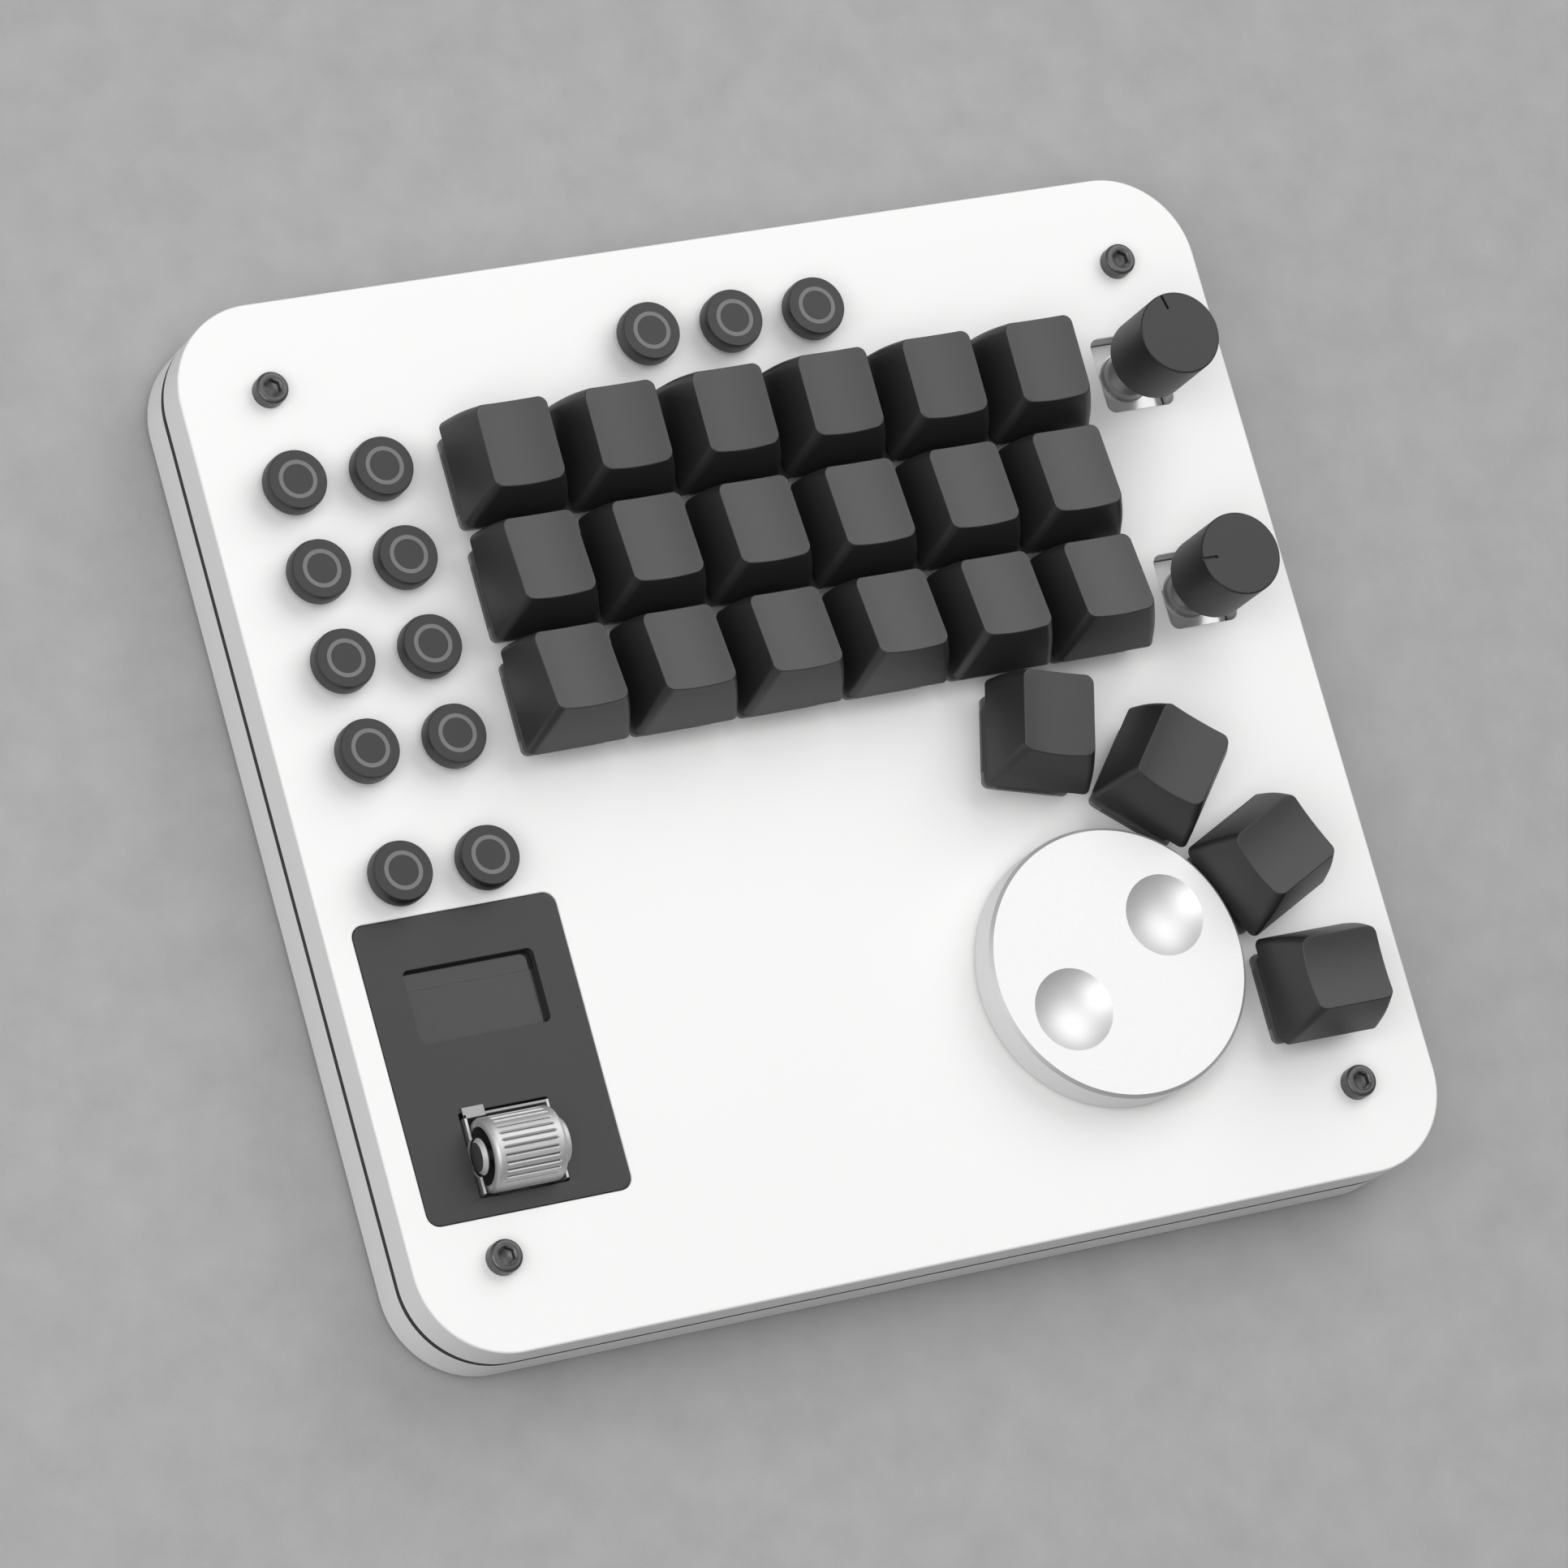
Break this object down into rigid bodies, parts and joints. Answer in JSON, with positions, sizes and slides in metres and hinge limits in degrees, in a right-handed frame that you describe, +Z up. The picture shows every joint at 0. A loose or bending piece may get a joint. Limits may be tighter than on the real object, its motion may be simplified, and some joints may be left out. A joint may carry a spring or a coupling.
{
  "type": "video editing keyboard",
  "caption": "Low white desk controller with sculpted black keys, round push buttons, a dimpled jog wheel, knobs, a small display and a grooved roller.",
  "frame": {"origin": "centre of the footprint, on the desk under the feet", "axes": "+X to the user's right along the long side, +Y to the back, +Z up"},
  "size_m": [0.184, 0.174, 0.0374],
  "materials": {
    "shell_white": "fine satin",
    "seam_rubber": "matt",
    "black_steel": "black oxide",
    "insert_brass": "knurled",
    "foot_rubber": "matt",
    "board": "solder mask",
    "switch_plastic": "moulded",
    "encoder_metal": "stamped",
    "bearing_plastic": "moulded",
    "socket_steel": "plated",
    "bezel_plastic": "fine satin",
    "display_glass": "polished",
    "bracket_steel": "stamped",
    "keycap_plastic": "fine matt",
    "button_plastic": "fine matt",
    "knob_black": "satin",
    "wheel_aluminium": "anodised",
    "spindle_steel": "turned",
    "roller_metal": "grooved"
  },
  "bodies": {
    "root": {"top_case": "shell_white", "bottom_case": "shell_white", "seam_gasket": "seam_rubber", "case_screws": "black_steel", "threaded_inserts": "insert_brass", "rubber_feet": "foot_rubber", "main_pcb": "board", "switch_housings": "switch_plastic", "button_switches": "switch_plastic", "encoder_bodies": "encoder_metal", "encoder_boards": "board", "jog_bearing": "bearing_plastic", "controller_board": "board", "usb_socket": "socket_steel", "display_bezel": "bezel_plastic", "display_module": "display_glass", "roller_bracket": "bracket_steel"},
    "key_r1c1_body": {"key_r1c1": "keycap_plastic"},
    "key_r1c2_body": {"key_r1c2": "keycap_plastic"},
    "key_r1c3_body": {"key_r1c3": "keycap_plastic"},
    "key_r1c4_body": {"key_r1c4": "keycap_plastic"},
    "key_r1c5_body": {"key_r1c5": "keycap_plastic"},
    "key_r1c6_body": {"key_r1c6": "keycap_plastic"},
    "key_r2c1_body": {"key_r2c1": "keycap_plastic"},
    "key_r2c2_body": {"key_r2c2": "keycap_plastic"},
    "key_r2c3_body": {"key_r2c3": "keycap_plastic"},
    "key_r2c4_body": {"key_r2c4": "keycap_plastic"},
    "key_r2c5_body": {"key_r2c5": "keycap_plastic"},
    "key_r2c6_body": {"key_r2c6": "keycap_plastic"},
    "key_r3c1_body": {"key_r3c1": "keycap_plastic"},
    "key_r3c2_body": {"key_r3c2": "keycap_plastic"},
    "key_r3c3_body": {"key_r3c3": "keycap_plastic"},
    "key_r3c4_body": {"key_r3c4": "keycap_plastic"},
    "key_r3c5_body": {"key_r3c5": "keycap_plastic"},
    "key_r3c6_body": {"key_r3c6": "keycap_plastic"},
    "key_fan_1_body": {"key_fan_1": "keycap_plastic"},
    "key_fan_2_body": {"key_fan_2": "keycap_plastic"},
    "key_fan_3_body": {"key_fan_3": "keycap_plastic"},
    "key_fan_4_body": {"key_fan_4": "keycap_plastic"},
    "button_1_body": {"button_1": "button_plastic"},
    "button_2_body": {"button_2": "button_plastic"},
    "button_3_body": {"button_3": "button_plastic"},
    "button_4_body": {"button_4": "button_plastic"},
    "button_5_body": {"button_5": "button_plastic"},
    "button_6_body": {"button_6": "button_plastic"},
    "button_7_body": {"button_7": "button_plastic"},
    "button_8_body": {"button_8": "button_plastic"},
    "button_9_body": {"button_9": "button_plastic"},
    "button_10_body": {"button_10": "button_plastic"},
    "button_11_body": {"button_11": "button_plastic"},
    "button_12_body": {"button_12": "button_plastic"},
    "button_13_body": {"button_13": "button_plastic"},
    "encoder_1_turn": {"encoder_rotor_1": "bearing_plastic"},
    "knob_1_body": {"knob_1": "knob_black"},
    "encoder_2_turn": {"encoder_rotor_2": "bearing_plastic"},
    "knob_2_body": {"knob_2": "knob_black"},
    "jog": {"jog_wheel": "wheel_aluminium", "jog_spindle": "spindle_steel"},
    "roller_carrier_body": {"roller_carrier": "bracket_steel"},
    "roller_body": {"roller": "roller_metal"}
  },
  "joints": [
    {"name": "key_r1c1_press", "type": "slide", "parent": "root", "child": "key_r1c1_body", "axis": [0, 0, -1], "range_m": [0, 0.004], "stiffness_N_per_m": 100, "springref_m": -0.001},
    {"name": "key_r1c2_press", "type": "slide", "parent": "root", "child": "key_r1c2_body", "axis": [0, 0, -1], "range_m": [0, 0.004], "stiffness_N_per_m": 100, "springref_m": -0.001},
    {"name": "key_r1c3_press", "type": "slide", "parent": "root", "child": "key_r1c3_body", "axis": [0, 0, -1], "range_m": [0, 0.004], "stiffness_N_per_m": 100, "springref_m": -0.001},
    {"name": "key_r1c4_press", "type": "slide", "parent": "root", "child": "key_r1c4_body", "axis": [0, 0, -1], "range_m": [0, 0.004], "stiffness_N_per_m": 100, "springref_m": -0.001},
    {"name": "key_r1c5_press", "type": "slide", "parent": "root", "child": "key_r1c5_body", "axis": [0, 0, -1], "range_m": [0, 0.004], "stiffness_N_per_m": 100, "springref_m": -0.001},
    {"name": "key_r1c6_press", "type": "slide", "parent": "root", "child": "key_r1c6_body", "axis": [0, 0, -1], "range_m": [0, 0.004], "stiffness_N_per_m": 100, "springref_m": -0.001},
    {"name": "key_r2c1_press", "type": "slide", "parent": "root", "child": "key_r2c1_body", "axis": [0, 0, -1], "range_m": [0, 0.004], "stiffness_N_per_m": 100, "springref_m": -0.001},
    {"name": "key_r2c2_press", "type": "slide", "parent": "root", "child": "key_r2c2_body", "axis": [0, 0, -1], "range_m": [0, 0.004], "stiffness_N_per_m": 100, "springref_m": -0.001},
    {"name": "key_r2c3_press", "type": "slide", "parent": "root", "child": "key_r2c3_body", "axis": [0, 0, -1], "range_m": [0, 0.004], "stiffness_N_per_m": 100, "springref_m": -0.001},
    {"name": "key_r2c4_press", "type": "slide", "parent": "root", "child": "key_r2c4_body", "axis": [0, 0, -1], "range_m": [0, 0.004], "stiffness_N_per_m": 100, "springref_m": -0.001},
    {"name": "key_r2c5_press", "type": "slide", "parent": "root", "child": "key_r2c5_body", "axis": [0, 0, -1], "range_m": [0, 0.004], "stiffness_N_per_m": 100, "springref_m": -0.001},
    {"name": "key_r2c6_press", "type": "slide", "parent": "root", "child": "key_r2c6_body", "axis": [0, 0, -1], "range_m": [0, 0.004], "stiffness_N_per_m": 100, "springref_m": -0.001},
    {"name": "key_r3c1_press", "type": "slide", "parent": "root", "child": "key_r3c1_body", "axis": [0, 0, -1], "range_m": [0, 0.004], "stiffness_N_per_m": 100, "springref_m": -0.001},
    {"name": "key_r3c2_press", "type": "slide", "parent": "root", "child": "key_r3c2_body", "axis": [0, 0, -1], "range_m": [0, 0.004], "stiffness_N_per_m": 100, "springref_m": -0.001},
    {"name": "key_r3c3_press", "type": "slide", "parent": "root", "child": "key_r3c3_body", "axis": [0, 0, -1], "range_m": [0, 0.004], "stiffness_N_per_m": 100, "springref_m": -0.001},
    {"name": "key_r3c4_press", "type": "slide", "parent": "root", "child": "key_r3c4_body", "axis": [0, 0, -1], "range_m": [0, 0.004], "stiffness_N_per_m": 100, "springref_m": -0.001},
    {"name": "key_r3c5_press", "type": "slide", "parent": "root", "child": "key_r3c5_body", "axis": [0, 0, -1], "range_m": [0, 0.004], "stiffness_N_per_m": 100, "springref_m": -0.001},
    {"name": "key_r3c6_press", "type": "slide", "parent": "root", "child": "key_r3c6_body", "axis": [0, 0, -1], "range_m": [0, 0.004], "stiffness_N_per_m": 100, "springref_m": -0.001},
    {"name": "key_fan_1_press", "type": "slide", "parent": "root", "child": "key_fan_1_body", "axis": [0, 0, -1], "range_m": [0, 0.004], "stiffness_N_per_m": 100, "springref_m": -0.001},
    {"name": "key_fan_2_press", "type": "slide", "parent": "root", "child": "key_fan_2_body", "axis": [0, 0, -1], "range_m": [0, 0.004], "stiffness_N_per_m": 100, "springref_m": -0.001},
    {"name": "key_fan_3_press", "type": "slide", "parent": "root", "child": "key_fan_3_body", "axis": [0, 0, -1], "range_m": [0, 0.004], "stiffness_N_per_m": 100, "springref_m": -0.001},
    {"name": "key_fan_4_press", "type": "slide", "parent": "root", "child": "key_fan_4_body", "axis": [0, 0, -1], "range_m": [0, 0.004], "stiffness_N_per_m": 100, "springref_m": -0.001},
    {"name": "button_1_press", "type": "slide", "parent": "root", "child": "button_1_body", "axis": [0, 0, -1], "range_m": [0, 0.0004], "stiffness_N_per_m": 1000},
    {"name": "button_2_press", "type": "slide", "parent": "root", "child": "button_2_body", "axis": [0, 0, -1], "range_m": [0, 0.0004], "stiffness_N_per_m": 1000},
    {"name": "button_3_press", "type": "slide", "parent": "root", "child": "button_3_body", "axis": [0, 0, -1], "range_m": [0, 0.0004], "stiffness_N_per_m": 1000},
    {"name": "button_4_press", "type": "slide", "parent": "root", "child": "button_4_body", "axis": [0, 0, -1], "range_m": [0, 0.0004], "stiffness_N_per_m": 1000},
    {"name": "button_5_press", "type": "slide", "parent": "root", "child": "button_5_body", "axis": [0, 0, -1], "range_m": [0, 0.0004], "stiffness_N_per_m": 1000},
    {"name": "button_6_press", "type": "slide", "parent": "root", "child": "button_6_body", "axis": [0, 0, -1], "range_m": [0, 0.0004], "stiffness_N_per_m": 1000},
    {"name": "button_7_press", "type": "slide", "parent": "root", "child": "button_7_body", "axis": [0, 0, -1], "range_m": [0, 0.0004], "stiffness_N_per_m": 1000},
    {"name": "button_8_press", "type": "slide", "parent": "root", "child": "button_8_body", "axis": [0, 0, -1], "range_m": [0, 0.0004], "stiffness_N_per_m": 1000},
    {"name": "button_9_press", "type": "slide", "parent": "root", "child": "button_9_body", "axis": [0, 0, -1], "range_m": [0, 0.0004], "stiffness_N_per_m": 1000},
    {"name": "button_10_press", "type": "slide", "parent": "root", "child": "button_10_body", "axis": [0, 0, -1], "range_m": [0, 0.0004], "stiffness_N_per_m": 1000},
    {"name": "button_11_press", "type": "slide", "parent": "root", "child": "button_11_body", "axis": [0, 0, -1], "range_m": [0, 0.0004], "stiffness_N_per_m": 1000},
    {"name": "button_12_press", "type": "slide", "parent": "root", "child": "button_12_body", "axis": [0, 0, -1], "range_m": [0, 0.0004], "stiffness_N_per_m": 1000},
    {"name": "button_13_press", "type": "slide", "parent": "root", "child": "button_13_body", "axis": [0, 0, -1], "range_m": [0, 0.0004], "stiffness_N_per_m": 1000},
    {"name": "knob_1_turn", "type": "hinge", "parent": "root", "child": "encoder_1_turn", "pos_m": [0.0744, 0.05305, 0.012], "axis": [0, 0, 1], "continuous": true},
    {"name": "knob_1_press", "type": "slide", "parent": "encoder_1_turn", "child": "knob_1_body", "axis": [0, 0, -1], "range_m": [0, 0.0005], "stiffness_N_per_m": 2000, "springref_m": -0.0001},
    {"name": "knob_2_turn", "type": "hinge", "parent": "root", "child": "encoder_2_turn", "pos_m": [0.0744, 0.01485, 0.012], "axis": [0, 0, 1], "continuous": true},
    {"name": "knob_2_press", "type": "slide", "parent": "encoder_2_turn", "child": "knob_2_body", "axis": [0, 0, -1], "range_m": [0, 0.0005], "stiffness_N_per_m": 2000, "springref_m": -0.0001},
    {"name": "jog_turn", "type": "hinge", "parent": "root", "child": "jog", "pos_m": [0.0376, -0.04596, 0.02], "axis": [0, 0, 1], "continuous": true},
    {"name": "roller_press", "type": "slide", "parent": "root", "child": "roller_carrier_body", "axis": [0, 0, -1], "range_m": [0, 0.0005], "stiffness_N_per_m": 2000, "springref_m": -0.0001},
    {"name": "roller_turn", "type": "hinge", "parent": "roller_carrier_body", "child": "roller_body", "pos_m": [-0.06978, -0.05575, 0.0192], "axis": [1, 0, 0], "continuous": true}
  ]
}
